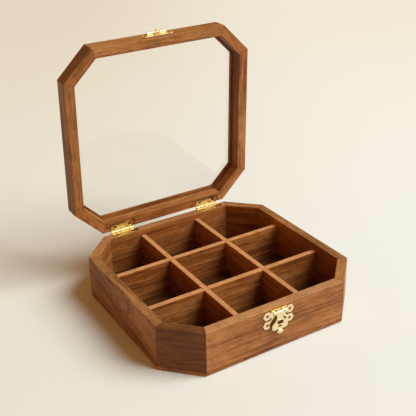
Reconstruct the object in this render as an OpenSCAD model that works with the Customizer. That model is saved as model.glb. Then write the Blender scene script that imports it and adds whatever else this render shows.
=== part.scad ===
// Octagonal box for tea bags: nine compartments, a glazed lid and brass fittings.
// Origin: middle of the underside. X runs to the right, -Y to the front, Z up.
// The lid is drawn open, as it rests on its hinges.

/* [Box body] */
// Width of the box, left to right
body_w = 240; // [215:1:280]
// Depth of the box, front to back
body_d = 228; // [205:1:270]
// Height of the box, floor to rim
body_h = 51.5; // [46:0.5:80]
// How far each corner is cut back along both sides
corner_cut = 35; // [28:1:42]
// Thickness of the wall boards
wall_t = 10.5; // [10:0.5:14]
// Thickness of the bottom board
floor_t = 5; // [3:0.5:8]
// Radius of the rounded edge under the bottom board
floor_round = 3; // [1:0.5:3]
// Radius of the eased edges along the rim and the lid
edge_ease = 0.8; // [0.3:0.1:1.5]

/* [Dividers] */
// Thickness of the dividers
divider_t = 6; // [3:0.5:8]
// How far the dividers stop below the rim
divider_drop = 7.3; // [3:0.1:15]
// How much deeper the middle row of compartments is than the outer rows
row_extra = 4.5; // [0:0.5:12]
// Radius of the eased upper edges of the dividers
divider_ease = 0.6; // [0.2:0.1:1]
// Play on each side of a divider in its cross lap slot
lap_play = 0.1; // [0.05:0.05:0.3]

/* [Lid] */
// Angle between the open lid and the closed one
lid_open = 88; // [0:1:95]
// Height of the lid frame
lid_h = 19; // [17:0.5:25]
// Width of the lid rails, seen from below
rail_w = 12; // [10:0.5:16]
// How far the lid stands back from the box at the front and the sides
lid_reveal = 2; // [0:0.5:3]
// Gap between the rim and the closed lid
lid_gap = 0.4; // [0.2:0.1:1]
// Height of the glass groove above the lid's underside
groove_z = 12.5; // [11:0.1:13]
// Depth of the glass groove in the rails
groove_deep = 3; // [1.5:0.5:4]
// How far the lip above the glass reaches in past the rails
lip_w = 2.5; // [1:0.5:6]
// Thickness of the glass
glass_t = 2; // [1.5:0.1:3]
// Gap round the edge of the glass
glass_edge_play = 0.5; // [0.2:0.1:1]
// Gap below and above the glass in its groove
glass_face_play = 0.2; // [0.1:0.05:0.3]

/* [Hinges] */
// Distance from each back corner in to the middle of its hinge
hinge_inset = 26; // [24:1:40]
// Length of each hinge along its pin
hinge_len = 30; // [24:1:36]
// Number of knuckles on each hinge
hinge_knuckles = 5; // [3, 5, 7]
// Width of each leaf on the wood
leaf_w = 9.4; // [7:0.1:9.6]
// Thickness of the leaves
leaf_t = 1.2; // [0.8:0.1:1.6]
// Outer diameter of the hinge knuckles
barrel_d = 3.8; // [3.6:0.1:5]
// Gap between the knuckles and the wood
barrel_gap = 0.2; // [0.2:0.1:1]
// Diameter of the hinge pins
hinge_pin_d = 2; // [1.4:0.1:2.4]
// How far each end of a hinge pin stands out of the knuckles
hinge_pin_end = 0.4; // [0:0.1:1]
// Gap between neighbouring knuckles
knuckle_gap = 0.3; // [0.2:0.05:0.5]
// Distance between the two screws of a leaf
hinge_screw_pitch = 19; // [16:0.5:20]
// Play of a leaf in its recess
recess_play = 0.2; // [0.1:0.05:0.3]
// Extra length of each recess past the right end of the leaf
recess_spare = 2; // [0.5:0.5:4]

/* [Clasp on the box] */
// Distance from the rim down to the pin of the clasp
hasp_drop = 4.6; // [4:0.2:7]
// Distance from the front wall out to the pin of the clasp
hasp_out = 3.4; // [3.2:0.1:4.5]
// Outer diameter of the clasp knuckles
hasp_barrel_d = 4; // [3.4:0.1:4.2]
// Diameter of the clasp pin
hasp_pin_d = 1.6; // [1.2:0.1:2]
// Length of the flap's own knuckle
flap_knuckle = 8; // [6:0.5:10]
// Length of each knuckle beside the flap
plate_knuckle = 3.6; // [2.5:0.1:4]
// Thickness of the clasp plate and the catch plate
plate_t = 1; // [0.8:0.1:1.2]
// Width of the middle of the clasp plate
plate_w = 19; // [18:0.2:20]
// How far the middle of the clasp plate rises above the pin
plate_rise = 2.9; // [2.4:0.1:3.4]
// How far the middle of the clasp plate reaches below the pin
plate_fall = 6.2; // [5.6:0.1:7]
// Height of the bands that carry the upper ears
band_h = 5.4; // [4:0.2:7]
// Width of the arms that carry the lower ears
arm_w = 2.4; // [1.8:0.1:3.2]
// Width of the holes pierced below the plate's knuckles
pierce_w = 2.8; // [2:0.1:3]
// Height of the holes pierced below the plate's knuckles
pierce_h = 3; // [2.4:0.1:3.4]
// Distance from the pin down to the upper screws of the clasp plate
hasp_screw_drop = 2.4; // [1.6:0.2:3]
// Distance between the left and right screws of the clasp plate
hasp_screw_x = 27.6; // [26:0.2:32]
// Distance between the upper and lower screws of the clasp plate
hasp_screw_z = 10.6; // [9.2:0.2:12]
// Size across the points of the pointed ears
ear_w = 10.2; // [8.4:0.2:10.4]
// Thickness of the flap
flap_t = 1.2; // [0.8:0.1:1.4]
// Width of the flap at its widest
flap_w = 19.4; // [18:0.2:20]
// Distance from the pin down to the lower edge of the flap
flap_len = 20.2; // [19:0.2:22]
// Width of the flap's neck
neck_w = 7.6; // [7:0.1:8]
// Length of the neck, from the pin down to where the flap spreads
neck_len = 6.6; // [5:0.2:7]
// Height over which the flap spreads from its neck to its full width
spread_len = 8.8; // [7:0.2:9.4]
// Radius of the rounded lower corners of the flap
flap_corner = 2.8; // [1.5:0.1:3.4]
// Distance from the pin down to the middle of the slot in the flap
slot_drop = 11.8; // [11.5:0.1:12]
// Length of the slot in the flap
slot_w = 7.4; // [7.2:0.1:8.4]
// Height of the slot in the flap
slot_h = 4.8; // [4.4:0.1:5]
// Width of the raised rim round the slot
slot_rim_w = 0.9; // [0.6:0.1:1.1]
// Height of that rim above the face of the flap
slot_rim_h = 0.4; // [0.2:0.1:0.6]
// Distance from the pin down to the middle of the small window in the flap
window_drop = 16.6; // [16.5:0.1:17]
// Width of the small window
window_w = 4.6; // [3:0.2:6]
// Height of the small window
window_h = 2; // [1.4:0.1:2.2]
// Diameter of the turned knob at the end of the flap
knob_d = 5; // [4:0.1:5.4]
// Length of the turned knob
knob_len = 7.6; // [6:0.1:9]
// Width of the flap's tongue that carries the knob
tongue_w = 3; // [2.4:0.1:3.6]

/* [Catch on the lid] */
// Distance between the two screws of the catch plate
catch_screw_x = 31; // [28:0.5:36]
// Height of the catch plate between its ears
catch_plate_h = 7; // [6:0.5:8]
// Size across the points of the catch plate's ears
catch_ear_w = 8.6; // [8:0.2:10]
// Diameter of the bead along the upper edge of the catch plate
bead_d = 3.4; // [2:0.1:3.4]
// Length of the bead
bead_len = 24; // [14:0.5:24]
// Thickness of the round wire of the staple
staple_wire = 2; // [1.6:0.1:2.2]
// Outer width of the staple
staple_w = 6.4; // [5.6:0.1:6.6]
// How far the staple stands out past the flap that it holds
staple_past = 1.6; // [1:0.1:2.4]
// How deep the staple's legs go into the lid
staple_root = 3; // [2:0.5:5]

/* [Screws and pins] */
// Diameter of the screw shanks
screw_d = 1.8; // [1.4:0.1:2.2]
// Diameter of the screw heads
screw_head_d = 3.8; // [3:0.1:4]
// Height of the round screw heads on the clasp
round_head_h = 0.9; // [0.6:0.1:1.1]
// Length of the screws below their heads
screw_len = 7; // [5:0.5:8]
// Width of the slots in the screw heads
screw_slot_w = 0.5; // [0.3:0.1:0.7]
// Play round the screws
screw_play = 0.05; // [0.02:0.01:0.1]
// Play round the pins in their knuckles
pin_play = 0.05; // [0.02:0.01:0.09]

/* [Hidden] */

$fn = 48;
// A cutter reaches this far past the face that it cuts
past = 1;
// Compartments along each side
per_side = 3;
// Half of the angle that a mitre takes between two sides of an octagon
mitre = 22.5;
walnut = "#8a5a33";
walnut_dark = "#74482a";
brass = "#d9b65c";
pale_glass = [0.8, 0.88, 0.88, 0.35];

// Numbers of the octagon's sides, counted from the front to the right
FRONT = 0;
FRONT_RIGHT = 1;
RIGHT = 2;
BACK_RIGHT = 3;
BACK = 4;
BACK_LEFT = 5;
LEFT = 6;
FRONT_LEFT = 7;

wall_h = body_h - floor_t;
divider_top = body_h - divider_drop;
divider_h = divider_top - floor_t;
inner_w = body_w - 2 * wall_t;
inner_d = body_d - 2 * wall_t;
column_pitch = (inner_w + divider_t) / per_side;
row_pitch = (inner_d + divider_t - row_extra) / per_side + row_extra;

// The lid's rear face stays flush with the back wall
lid_w = body_w - 2 * lid_reveal;
lid_d = body_d - lid_reveal;
lid_y = lid_reveal / 2;
lid_cut = corner_cut - (2 - sqrt(2)) * lid_reveal;
lid_z = body_h + lid_gap;
lid_front = body_d / 2 - lid_reveal;
groove_h = glass_t + 2 * glass_face_play;
glass_inset = rail_w - groove_deep + glass_edge_play;

pin_back = barrel_d / 2 + barrel_gap;
hinge_x = body_w / 2 - corner_cut - hinge_inset;
joint_y = body_d / 2 + pin_back;
joint_z = body_h + lid_gap / 2;
leaf_screw_y = pin_back + leaf_w / 2;
// A countersink stops this far above the far face of its leaf
csk_land = 0.1;
csk_h = leaf_t - csk_land;
screw_slot_deep = 0.4;

hasp_z = body_h - hasp_drop;
knuckle_side_gap = 0.3;
plate_knuckle_x = (flap_knuckle + plate_knuckle) / 2 + knuckle_side_gap;
hasp_barrel_len = flap_knuckle + 2 * knuckle_side_gap + 2 * plate_knuckle;
knob_seat_gap = 0.1;
knob_drop = flap_len + knob_d / 2 + knob_seat_gap;
tongue_play = 0.05;
// Points along each curved side of the flap
spread_steps = 10;
// The bead sinks this far into the catch plate
bead_sink = 0.2;
// The engaged slot lies at the same height as the staple
catch_z = hasp_z + slot_drop - lid_z;
staple_out = hasp_out + lid_reveal + flap_t / 2 + staple_past;
staple_ring = (staple_w - staple_wire) / 2;
staple_leg = staple_out - staple_ring - staple_wire / 2;

function side_turn(i) = 45 * i;
function side_len(i, w, d, cut) =
    i % 2 == 1 ? cut * sqrt(2) : i % 4 == 0 ? w - 2 * cut : d - 2 * cut;
// Middle of one outer side of the octagon
function side_mid(i, w, d, cut) = let (a = side_turn(i) - 90)
    i % 2 == 1 ? [sign(cos(a)) * (w - cut) / 2, sign(sin(a)) * (d - cut) / 2]
               : [cos(a) * w / 2, sin(a) * d / 2];

// Octagon with its two sizes and the cut of its corners
module octagon(w, d, cut) {
    polygon([[w / 2 - cut, -d / 2], [w / 2, -d / 2 + cut], [w / 2, d / 2 - cut], [w / 2 - cut, d / 2],
        [-w / 2 + cut, d / 2], [-w / 2, d / 2 - cut], [-w / 2, -d / 2 + cut], [-w / 2 + cut, -d / 2]]);
}

// What a quarter round of this radius takes off a corner at the origin
module ease_cut(r) {
    difference() {
        translate([-past, -past]) square(r + past);
        translate([r, r]) circle(r);
    }
}

// Carries its children to one side of an octagon: X along the side, Y inwards
module on_side(i, w, d, cut) {
    translate(side_mid(i, w, d, cut)) rotate(side_turn(i)) children();
}

// Extrudes a profile along X: its first axis becomes Y and its second Z
module along_x(length) {
    translate([-length / 2, 0, 0]) rotate([90, 0, 90]) linear_extrude(length) children();
}

// A board of one octagon side, mitred at both ends; the child is its profile
module mitred_board(i, w, d, cut, thick, high) {
    length = side_len(i, w, d, cut);
    outer = length / 2 + past * tan(mitre);
    inner = length / 2 - (thick + past) * tan(mitre);
    on_side(i, w, d, cut) intersection() {
        along_x(length + 2 * past) children();
        translate([0, 0, -past]) linear_extrude(high + 2 * past)
            polygon([[-outer, -past], [outer, -past], [inner, thick + past], [-inner, thick + past]]);
    }
}

// What easing takes off the two upper corners of a section of this size
module top_ease(wide, high, r) {
    translate([0, high]) mirror([0, 1]) ease_cut(r);
    translate([wide, high]) rotate(180) ease_cut(r);
}

module wall_profile() {
    difference() {
        square([wall_t, wall_h]);
        top_ease(wall_t, wall_h, edge_ease);
    }
}

module wall(i) {
    translate([0, 0, floor_t])
        mitred_board(i, body_w, body_d, corner_cut, wall_t, wall_h) wall_profile();
}

// Rail section: inner face, groove for the glass and the lip over it
module rail_profile() {
    difference() {
        square([rail_w + lip_w, lid_h]);
        translate([rail_w, -past]) square([lip_w + past, groove_z + past]);
        translate([rail_w - groove_deep, groove_z]) square([groove_deep + lip_w + past, groove_h]);
        ease_cut(edge_ease);
        top_ease(rail_w + lip_w, lid_h, edge_ease);
    }
}

// Carries the closed lid's children about the hinge pins to the open pose
module lid_pose() {
    translate([0, joint_y, joint_z]) rotate([-lid_open, 0, 0]) translate([0, -joint_y, -joint_z]) children();
}

module lid_rail(i) {
    translate([0, lid_y, lid_z])
        mitred_board(i, lid_w, lid_d, lid_cut, rail_w + lip_w, lid_h) rail_profile();
}

// Slotted countersunk screw, its head's face at the origin, pointing down
module flush_screw() {
    difference() {
        union() {
            translate([0, 0, -csk_h]) cylinder(d1 = screw_d, d2 = screw_head_d, h = csk_h);
            translate([0, 0, -csk_h - screw_len]) cylinder(d = screw_d, h = screw_len + csk_h / 2);
        }
        translate([-screw_head_d, -screw_slot_w / 2, -screw_slot_deep])
            cube([2 * screw_head_d, screw_slot_w, screw_slot_deep + past]);
    }
}

// Hole for that screw in its leaf
module flush_hole() {
    play = 2 * screw_play;
    translate([0, 0, -csk_h]) cylinder(d1 = screw_d + play, d2 = screw_head_d + play, h = csk_h);
    translate([0, 0, -leaf_t - past]) cylinder(d = screw_d + play, h = leaf_t + past);
}

// Slotted round head screw, the underside of its head at the origin, pointing down
module round_screw() {
    ball = (pow(screw_head_d / 2, 2) + pow(round_head_h, 2)) / (2 * round_head_h);
    difference() {
        union() {
            rotate_extrude() intersection() {
                square([screw_head_d / 2, round_head_h]);
                translate([0, round_head_h - ball]) circle(ball);
            }
            translate([0, 0, -screw_len]) cylinder(d = screw_d, h = screw_len + round_head_h / 2);
        }
        translate([-screw_head_d, -screw_slot_w / 2, round_head_h - screw_slot_deep])
            cube([2 * screw_head_d, screw_slot_w, screw_slot_deep + past]);
    }
}

// Pilot hole in the wood, its mouth at the origin, going down
module pilot_hole(deep) {
    translate([0, 0, -deep]) cylinder(d = screw_d + 2 * screw_play, h = deep + past);
}

// Places of the two screws of a leaf, seen from the hinge's middle
module leaf_screws() {
    for (sx = [-1, 1]) translate([sx * hinge_screw_pitch / 2, -leaf_screw_y, -lid_gap / 2]) children();
}

// Frames of the two hinges, at the middle of each pin
module at_hinge(side) {
    translate([side * hinge_x, joint_y, joint_z]) children();
}

// What one hinge leaf takes out of the wood below the joint line
module leaf_recess() {
    wide = hinge_len + recess_spare + 2 * recess_play;
    translate([-hinge_len / 2 - recess_play, -pin_back - leaf_w - recess_play, -lid_gap / 2 - leaf_t])
        cube([wide, leaf_w + recess_play + past, leaf_t + past]);
    leaf_screws() pilot_hole(csk_h + screw_len + recess_play);
}

// Lower leaf of a hinge with every second knuckle, from the first one on
module hinge_leaf(first) {
    pitch = hinge_len / hinge_knuckles;
    difference() {
        union() {
            translate([-hinge_len / 2, -pin_back - leaf_w, -lid_gap / 2 - leaf_t])
                cube([hinge_len, leaf_w, leaf_t]);
            for (k = [first : 2 : hinge_knuckles - 1])
                translate([-hinge_len / 2 + k * pitch + knuckle_gap / 2, 0, 0]) {
                    rotate([0, 90, 0]) cylinder(d = barrel_d, h = pitch - knuckle_gap);
                    translate([0, -pin_back - barrel_gap, -lid_gap / 2 - leaf_t])
                        cube([pitch - knuckle_gap, pin_back + barrel_gap, leaf_t]);
                }
        }
        translate([-hinge_len, 0, 0]) rotate([0, 90, 0])
            cylinder(d = hinge_pin_d + 2 * pin_play, h = 2 * hinge_len);
        leaf_screws() flush_hole();
    }
}

module hinge_pin() {
    translate([-hinge_len / 2 - hinge_pin_end, 0, 0]) rotate([0, 90, 0])
        cylinder(d = hinge_pin_d, h = hinge_len + 2 * hinge_pin_end);
}

module hinge_base_leaf(side) {
    color(brass) at_hinge(side) hinge_leaf(0);
}

module hinge_lid_leaf(side) {
    color(brass) lid_pose() at_hinge(side) mirror([0, 0, 1]) hinge_leaf(1);
}

module hinge_base_screws() {
    color(brass) for (side = [-1, 1]) at_hinge(side) leaf_screws() flush_screw();
}

module hinge_lid_screws() {
    color(brass) lid_pose()
        for (side = [-1, 1]) at_hinge(side) mirror([0, 0, 1]) leaf_screws() flush_screw();
}

module bottom_board() {
    color(walnut_dark) difference() {
        linear_extrude(floor_t) octagon(body_w, body_d, corner_cut);
        for (i = [FRONT : FRONT_LEFT])
            on_side(i, body_w, body_d, corner_cut)
                along_x(side_len(i, body_w, body_d, corner_cut) + 2 * floor_round) ease_cut(floor_round);
    }
}

module plain_wall(i) {
    color(walnut) wall(i);
}

// Frame of the clasp: X to the right, Y up from the pin, Z out of the front wall
module at_hasp() {
    translate([0, -body_d / 2, hasp_z]) rotate([90, 0, 0]) children();
}

module hasp_screw_places() {
    for (sx = [-1, 1], row = [0, 1])
        translate([sx * hasp_screw_x / 2, -hasp_screw_drop - row * hasp_screw_z, 0]) children();
}

// Frame of the catch: X to the right, Y up from the staple, Z out of the closed lid
module at_catch() {
    translate([0, -lid_front, lid_z + catch_z]) rotate([90, 0, 0]) children();
}

module catch_screw_places() {
    for (sx = [-1, 1]) translate([sx * catch_screw_x / 2, 0, 0]) children();
}

module front_wall() {
    color(walnut) difference() {
        wall(FRONT);
        at_hasp() hasp_screw_places() pilot_hole(screw_len);
    }
}

module back_wall() {
    color(walnut) difference() {
        wall(BACK);
        for (side = [-1, 1]) at_hinge(side) leaf_recess();
    }
}

// Board of a divider along X, standing on the bottom board
module divider_board(length) {
    translate([0, -divider_t / 2, floor_t]) along_x(length) difference() {
        square([divider_t, divider_h]);
        top_ease(divider_t, divider_h, divider_ease);
    }
}

// Divider that runs left to right, slotted from above
module row_divider(side) {
    color(walnut) difference() {
        translate([0, side * row_pitch / 2, 0]) divider_board(inner_w);
        for (sx = [-1, 1])
            translate([sx * column_pitch / 2 - divider_t / 2 - lap_play,
                side * row_pitch / 2 - divider_t, floor_t + divider_h / 2])
                cube([divider_t + 2 * lap_play, 2 * divider_t, divider_h]);
    }
}

// Divider that runs front to back, slotted from below
module column_divider(side) {
    color(walnut) difference() {
        translate([side * column_pitch / 2, 0, 0]) rotate(90) divider_board(inner_d);
        for (sy = [-1, 1])
            translate([side * column_pitch / 2 - divider_t,
                sy * row_pitch / 2 - divider_t / 2 - lap_play, floor_t - past])
                cube([2 * divider_t, divider_t + 2 * lap_play, divider_h / 2 + lap_play + past]);
    }
}

module plain_rail(i) {
    color(walnut) lid_pose() lid_rail(i);
}

module lid_front_rail() {
    color(walnut) lid_pose() difference() {
        lid_rail(FRONT);
        at_catch() catch_screw_places() pilot_hole(screw_len);
        at_catch() staple_legs(2 * screw_play);
    }
}

module lid_back_rail() {
    color(walnut) lid_pose() difference() {
        lid_rail(BACK);
        for (side = [-1, 1]) at_hinge(side) mirror([0, 0, 1]) leaf_recess();
    }
}

module glass_pane() {
    color(pale_glass) lid_pose()
        translate([0, lid_y, lid_z + groove_z + glass_face_play]) linear_extrude(glass_t)
            octagon(lid_w - 2 * glass_inset, lid_d - 2 * glass_inset,
                lid_cut - (2 - sqrt(2)) * glass_inset);
}

module ear(across) {
    circle(d = across, $fn = 6);
}

// Arm from under the right knuckle of the clasp plate down to its lower right ear
module plate_arm() {
    root = [plate_knuckle_x - arm_w / 2, -plate_fall + arm_w / 4];
    reach = [hasp_screw_x / 2, -hasp_screw_drop - hasp_screw_z] - root;
    translate(root) rotate(atan2(reach.y, reach.x))
        translate([0, -arm_w / 2]) square([norm(reach), arm_w]);
}

// Hole where the tongue of the right plate knuckle was cut free and rolled
module pierced_hole() {
    straight = pierce_h - pierce_w / 2;
    translate([plate_knuckle_x, -hasp_barrel_d / 4 - straight]) {
        translate([-pierce_w / 2, 0]) square([pierce_w, straight]);
        circle(d = pierce_w);
    }
}

module hasp_plate_outline() {
    difference() {
        union() {
            translate([-plate_w / 2, -plate_fall]) square([plate_w, plate_fall + plate_rise]);
            translate([-hasp_screw_x / 2, -hasp_screw_drop - band_h / 2]) square([hasp_screw_x, band_h]);
            hasp_screw_places() ear(ear_w);
            for (flip = [0, 1]) mirror([flip, 0]) plate_arm();
        }
        hasp_screw_places() circle(d = screw_d + 2 * screw_play);
        for (flip = [0, 1]) mirror([flip, 0]) pierced_hole();
    }
}

// Clasp plate with the two knuckles that hold the pin
module hasp_plate() {
    color(brass) at_hasp() difference() {
        union() {
            linear_extrude(plate_t) hasp_plate_outline();
            for (sx = [-1, 1]) translate([sx * plate_knuckle_x - plate_knuckle / 2, 0, 0]) {
                translate([0, 0, hasp_out]) rotate([0, 90, 0])
                    cylinder(d = hasp_barrel_d, h = plate_knuckle);
                translate([0, -hasp_barrel_d / 4, plate_t / 2])
                    cube([plate_knuckle, hasp_barrel_d / 2, hasp_out - plate_t / 2]);
            }
        }
        hasp_bore();
    }
}

// Bore for the clasp's pin through every knuckle
module hasp_bore() {
    translate([-hasp_barrel_len / 2 - past, 0, hasp_out]) rotate([0, 90, 0])
        cylinder(d = hasp_pin_d + 2 * pin_play, h = hasp_barrel_len + 2 * past);
}

module hasp_screws() {
    color(brass) at_hasp() hasp_screw_places() translate([0, 0, plate_t]) round_screw();
}

module hasp_pin() {
    color(brass) at_hasp() translate([-hasp_barrel_len / 2, 0, hasp_out]) rotate([0, 90, 0])
        cylinder(d = hasp_pin_d, h = hasp_barrel_len);
}

// Half width of the flap at one step of its curved side, from the neck down
function spread_half(step) = (neck_w + (flap_w - neck_w) * (1 - cos(180 * step / spread_steps)) / 2) / 2;
// Points down the right side of the flap, from the pin to its lower edge
function flap_side() = concat([[neck_w / 2, 0]],
    [for (step = [0 : spread_steps]) [spread_half(step), -neck_len - spread_len * step / spread_steps]],
    [[flap_w / 2, flap_corner - flap_len], [flap_w / 2 - flap_corner, -flap_len], [0, -flap_len]]);

// Bell shaped flap with a tongue for the knob; Y runs up, the pin is at the origin
module flap_outline() {
    difference() {
        union() {
            for (flip = [0, 1]) mirror([flip, 0]) {
                polygon(concat(flap_side(), [[0, 0]]));
                translate([flap_w / 2 - flap_corner, flap_corner - flap_len]) circle(flap_corner);
            }
            translate([-tongue_w / 2, -knob_drop]) square([tongue_w, knob_drop - flap_len + flap_corner]);
        }
        translate([0, -slot_drop]) slot_outline(slot_w, slot_h);
        translate([0, -window_drop]) slot_outline(window_w, window_h);
    }
}

// Outline with half round ends
module slot_outline(wide, high) {
    straight = wide - high;
    translate([-straight / 2, -high / 2]) square([straight, high]);
    for (sx = [-1, 1]) translate([sx * straight / 2, 0]) circle(d = high);
}

// Rim that stands up round the slot of the flap
module slot_rim() {
    translate([0, -slot_drop, 0]) linear_extrude(flap_t / 2 + slot_rim_h) difference() {
        slot_outline(slot_w + 2 * slot_rim_w, slot_h + 2 * slot_rim_w);
        slot_outline(slot_w, slot_h);
    }
}

module hasp_flap() {
    color(brass) at_hasp() difference() {
        translate([0, 0, hasp_out]) {
            translate([0, 0, -flap_t / 2]) linear_extrude(flap_t) flap_outline();
            slot_rim();
            translate([-flap_knuckle / 2, 0, 0]) rotate([0, 90, 0])
                cylinder(d = hasp_barrel_d, h = flap_knuckle);
        }
        hasp_bore();
    }
}

// Half section of the turned knob: a barrel that swells in the middle
module knob_section() {
    swell = knob_d / 2;
    belly = (pow(knob_len / 2, 2) + pow(swell / 2, 2)) / swell;
    intersection() {
        translate([0, -knob_len / 2]) square([swell, knob_len]);
        translate([swell - belly, 0]) circle(belly, $fn = 96);
    }
}

module hasp_knob() {
    color(brass) at_hasp() translate([0, -knob_drop, hasp_out]) difference() {
        rotate([0, 90, 0]) rotate_extrude() knob_section();
        translate([-tongue_w / 2 - tongue_play, -tongue_play, -flap_t / 2 - tongue_play])
            cube([tongue_w + 2 * tongue_play, knob_d, flap_t + 2 * tongue_play]);
    }
}

// Legs of the staple, from the depth of their holes to where the ring starts
module staple_legs(play) {
    for (sx = [-1, 1]) translate([sx * staple_ring, 0, -staple_root - play])
        cylinder(d = staple_wire + play, h = staple_root + play + staple_leg);
}

module catch_plate() {
    flat = catch_plate_h / 2;
    color(brass) lid_pose() at_catch() difference() {
        union() {
            linear_extrude(plate_t) {
                translate([-catch_screw_x / 2 + catch_ear_w / 4, -flat])
                    square([catch_screw_x - catch_ear_w / 2, 2 * flat]);
                catch_screw_places() ear(catch_ear_w);
            }
            translate([-bead_len / 2, flat, plate_t / 2 + bead_d / 2 - bead_sink]) rotate([0, 90, 0])
                cylinder(d = bead_d, h = bead_len);
        }
        catch_screw_places() translate([0, 0, plate_t]) pilot_hole(plate_t + past);
        staple_legs(2 * screw_play);
    }
}

module catch_staple() {
    color(brass) lid_pose() at_catch() {
        staple_legs(0);
        translate([0, 0, staple_leg]) rotate([90, 0, 0])
            rotate_extrude(angle = 180) translate([staple_ring, 0]) circle(d = staple_wire);
    }
}

module catch_screws() {
    color(brass) lid_pose() at_catch() catch_screw_places() translate([0, 0, plate_t]) round_screw();
}

bottom_board();
front_wall();
plain_wall(FRONT_RIGHT);  // front_right_wall
plain_wall(RIGHT);  // right_wall
plain_wall(BACK_RIGHT);  // back_right_wall
back_wall();
plain_wall(BACK_LEFT);  // back_left_wall
plain_wall(LEFT);  // left_wall
plain_wall(FRONT_LEFT);  // front_left_wall
row_divider(-1);  // front_divider
row_divider(1);  // back_divider
column_divider(-1);  // left_divider
column_divider(1);  // right_divider
lid_front_rail();
plain_rail(FRONT_RIGHT);  // lid_front_right_rail
plain_rail(RIGHT);  // lid_right_rail
plain_rail(BACK_RIGHT);  // lid_back_right_rail
lid_back_rail();
plain_rail(BACK_LEFT);  // lid_back_left_rail
plain_rail(LEFT);  // lid_left_rail
plain_rail(FRONT_LEFT);  // lid_front_left_rail
glass_pane();
hinge_base_leaf(-1);  // left_hinge_base_leaf
hinge_lid_leaf(-1);  // left_hinge_lid_leaf
color(brass) at_hinge(-1) hinge_pin();  // left_hinge_pin
hinge_base_leaf(1);  // right_hinge_base_leaf
hinge_lid_leaf(1);  // right_hinge_lid_leaf
color(brass) at_hinge(1) hinge_pin();  // right_hinge_pin
hinge_base_screws();
hinge_lid_screws();
hasp_plate();
hasp_screws();
hasp_pin();
hasp_flap();
hasp_knob();
catch_plate();
catch_staple();
catch_screws();
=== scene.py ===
"""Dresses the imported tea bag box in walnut, glass and brass, and sets it in a small studio.

The box is a shallow octagon of mitred boards with nine compartments, a glazed lid that stands
open on two butt hinges, and a stamped clasp. Lengths are in millimetres where a name or a
docstring says so, and in metres everywhere else. X runs to the right, -Y to the front, Z up.
"""

import logging
import math
from collections.abc import Callable, Sequence
from dataclasses import dataclass, field
from enum import Enum
from functools import reduce

import bmesh
import bpy
from mathutils import Matrix, Vector
from mathutils.geometry import delaunay_2d_cdt


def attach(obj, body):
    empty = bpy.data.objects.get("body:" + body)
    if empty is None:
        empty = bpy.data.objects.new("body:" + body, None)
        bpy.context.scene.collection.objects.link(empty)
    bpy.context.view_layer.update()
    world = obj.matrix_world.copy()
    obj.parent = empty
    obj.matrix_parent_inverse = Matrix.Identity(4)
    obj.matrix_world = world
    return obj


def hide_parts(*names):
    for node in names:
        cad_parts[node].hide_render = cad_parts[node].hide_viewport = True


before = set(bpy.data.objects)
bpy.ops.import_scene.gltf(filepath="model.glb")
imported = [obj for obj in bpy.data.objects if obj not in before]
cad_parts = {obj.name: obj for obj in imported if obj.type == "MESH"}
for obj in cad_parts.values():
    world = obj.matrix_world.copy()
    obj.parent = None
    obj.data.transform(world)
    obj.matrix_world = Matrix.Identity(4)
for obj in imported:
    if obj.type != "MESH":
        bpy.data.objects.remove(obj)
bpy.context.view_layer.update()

LOG = logging.getLogger("tea_box")
MM = 0.001
MITRE = math.radians(22.5)
BORE_PLAY = 0.05
RECESS_ENDS = (-0.0437, 0.0743)
RECESS_DEEP = 1.4

Colour = tuple[float, float, float]
Point = tuple[float, float]


class Body(Enum):
    """The bodies of the frame that pieces ride on."""

    BASE = "base"
    LID = "lid"
    FLAP = "clasp_flap"


class Side(Enum):
    """The sides of the octagon, counted from the front to the right."""

    FRONT = 0
    FRONT_RIGHT = 1
    RIGHT = 2
    BACK_RIGHT = 3
    BACK = 4
    BACK_LEFT = 5
    LEFT = 6
    FRONT_LEFT = 7

    @property
    def turn(self) -> float:
        """Angle of this side about Z, in radians."""
        return math.radians(45 * self.value)

    @property
    def word(self) -> str:
        """The side's name as the frame's nodes spell it."""
        return self.name.lower()

    @property
    def across_corner(self) -> bool:
        """True for the short sides that cut the corners."""
        return self.value % 2 == 1


# Shader expressions.


class Wire:
    """An output socket that takes part in Python expressions."""

    def __init__(self, graph: "Graph", socket: bpy.types.NodeSocket) -> None:
        """Keeps the graph that the socket's node belongs to."""
        self.graph = graph
        self.socket = socket

    def __add__(self, other: "Feed") -> "Wire":
        """Sum."""
        return self.graph.math("ADD", self, other)

    __radd__ = __add__

    def __sub__(self, other: "Feed") -> "Wire":
        """Difference."""
        return self.graph.math("SUBTRACT", self, other)

    def __rsub__(self, other: "Feed") -> "Wire":
        """Difference with this wire on the right."""
        return self.graph.math("SUBTRACT", other, self)

    def __mul__(self, other: "Feed") -> "Wire":
        """Product."""
        return self.graph.math("MULTIPLY", self, other)

    __rmul__ = __mul__

    def __abs__(self) -> "Wire":
        """Size without its sign."""
        return self.graph.math("ABSOLUTE", self)

    def step(self, low: float, high: float) -> "Wire":
        """Smooth step: 0 below low, 1 above high, or falling where high is the lower one."""
        rising = low < high
        inputs = {
            "Value": self,
            "From Min": min(low, high),
            "From Max": max(low, high),
            "To Min": 0.0 if rising else 1.0,
            "To Max": 1.0 if rising else 0.0,
        }
        made = self.graph.node("ShaderNodeMapRange", {"interpolation_type": "SMOOTHSTEP"}, inputs)
        return Wire(self.graph, made.outputs["Result"])


Feed = Wire | float | Sequence[float]


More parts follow.
